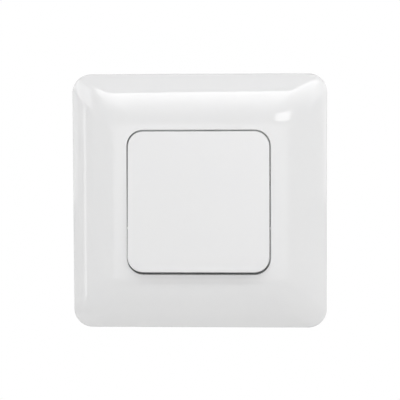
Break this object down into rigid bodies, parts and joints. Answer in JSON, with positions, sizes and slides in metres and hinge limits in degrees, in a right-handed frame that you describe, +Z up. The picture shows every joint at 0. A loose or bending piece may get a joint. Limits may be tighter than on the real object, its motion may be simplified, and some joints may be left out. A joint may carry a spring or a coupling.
{
  "type": "rocker light switch",
  "caption": "Flush-mounted rocker light switch: pillowed square cover frame, square rocker, and an insert with support ring, housing, contact bridge, clamps and spreading claws.",
  "frame": {"origin": "centre of the support ring's screw pattern, in the plane of the wall's surface", "axes": "+X to the right seen from the room, +Y into the wall, +Z up"},
  "size_m": [0.082, 0.038, 0.082],
  "materials": {
    "frame_white": "gloss",
    "rocker_white": "satin",
    "carrier_grey": "matt",
    "plunger_natural": "satin",
    "spring_steel": "bright",
    "zinc_steel": "zinc plated",
    "cover_grey": "matt",
    "base_grey": "matt",
    "copper_strip": "bright",
    "contact_silver": "bright",
    "claw_steel": "zinc plated",
    "screw_steel": "zinc plated",
    "nut_brass": "bright",
    "lever_orange": "satin"
  },
  "bodies": {
    "insert": {"cover_frame": "frame_white", "support_ring": "zinc_steel", "housing_cover": "cover_grey", "housing_base": "base_grey", "common_terminal": "copper_strip", "upper_terminal": "copper_strip", "lower_terminal": "copper_strip", "fixed_contact_upper": "contact_silver", "fixed_contact_lower": "contact_silver", "clamp_spring_common": "spring_steel", "clamp_spring_upper": "spring_steel", "clamp_spring_lower": "spring_steel"},
    "rocker_unit": {"rocker": "rocker_white", "rocker_carrier": "carrier_grey", "toggle_spring": "spring_steel"},
    "plunger": {"toggle_plunger": "plunger_natural"},
    "contact_arm": {"contact_bridge": "copper_strip", "moving_contact_upper": "contact_silver", "moving_contact_lower": "contact_silver"},
    "claw_screw_right_body": {"claw_screw_right": "screw_steel"},
    "claw_nut_right_body": {"claw_nut_right": "nut_brass"},
    "claw_right_body": {"claw_right": "claw_steel"},
    "claw_screw_left_body": {"claw_screw_left": "screw_steel"},
    "claw_nut_left_body": {"claw_nut_left": "nut_brass"},
    "claw_left_body": {"claw_left": "claw_steel"},
    "release_common": {"release_lever_common": "lever_orange"},
    "release_upper": {"release_lever_upper": "lever_orange"},
    "release_lower": {"release_lever_lower": "lever_orange"}
  },
  "joints": [
    {"name": "rocker_tilt", "type": "hinge", "parent": "insert", "child": "rocker_unit", "pos_m": [0, -0.0068, 0], "axis": [1, 0, 0], "range_deg": [0, 9]},
    {"name": "plunger_slide", "type": "slide", "parent": "rocker_unit", "child": "plunger", "axis": [0, -0.9969, 0.0785], "range_m": [0, 0.0012], "stiffness_N_per_m": 1500, "springref_m": -0.001, "deforming": ["toggle_spring"]},
    {"name": "contact_tilt", "type": "hinge", "parent": "insert", "child": "contact_arm", "pos_m": [0, 0.0084, 0], "axis": [1, 0, 0], "range_deg": [-12, 0]},
    {"name": "claw_screw_right_turn", "type": "hinge", "parent": "insert", "child": "claw_screw_right_body", "pos_m": [0.0228, 0, 0.0075], "axis": [0, 1, 0], "range_deg": [0, 3600]},
    {"name": "claw_nut_right_slide", "type": "slide", "parent": "insert", "child": "claw_nut_right_body", "axis": [0, -1, 0], "range_m": [0, 0.005]},
    {"name": "claw_right_slide", "type": "slide", "parent": "insert", "child": "claw_right_body", "axis": [0.5736, -0.8192, 0], "range_m": [0, 0.0061]},
    {"name": "claw_screw_left_turn", "type": "hinge", "parent": "insert", "child": "claw_screw_left_body", "pos_m": [-0.0228, 0, -0.0075], "axis": [0, 1, 0], "range_deg": [0, 3600]},
    {"name": "claw_nut_left_slide", "type": "slide", "parent": "insert", "child": "claw_nut_left_body", "axis": [0, -1, 0], "range_m": [0, 0.005]},
    {"name": "claw_left_slide", "type": "slide", "parent": "insert", "child": "claw_left_body", "axis": [-0.5736, -0.8192, 0], "range_m": [0, 0.0061]},
    {"name": "release_common_push", "type": "slide", "parent": "insert", "child": "release_common", "axis": [0, -1, 0], "range_m": [0, 0.0015], "stiffness_N_per_m": 1500, "springref_m": -0.0005, "deforming": ["clamp_spring_common"]},
    {"name": "release_upper_push", "type": "slide", "parent": "insert", "child": "release_upper", "axis": [0, -1, 0], "range_m": [0, 0.0015], "stiffness_N_per_m": 1500, "springref_m": -0.0005, "deforming": ["clamp_spring_upper"]},
    {"name": "release_lower_push", "type": "slide", "parent": "insert", "child": "release_lower", "axis": [0, -1, 0], "range_m": [0, 0.0015], "stiffness_N_per_m": 1500, "springref_m": -0.0005, "deforming": ["clamp_spring_lower"]}
  ],
  "couplings": [
    {"joint": "contact_tilt", "follows": "rocker_tilt", "ratio": -1.3333},
    {"joint": "claw_screw_right_turn", "follows": "claw_nut_right_slide", "rad_per_m": 12566},
    {"joint": "claw_right_slide", "follows": "claw_nut_right_slide", "ratio": 1.2208},
    {"joint": "claw_screw_left_turn", "follows": "claw_nut_left_slide", "rad_per_m": 12566},
    {"joint": "claw_left_slide", "follows": "claw_nut_left_slide", "ratio": 1.2208}
  ]
}
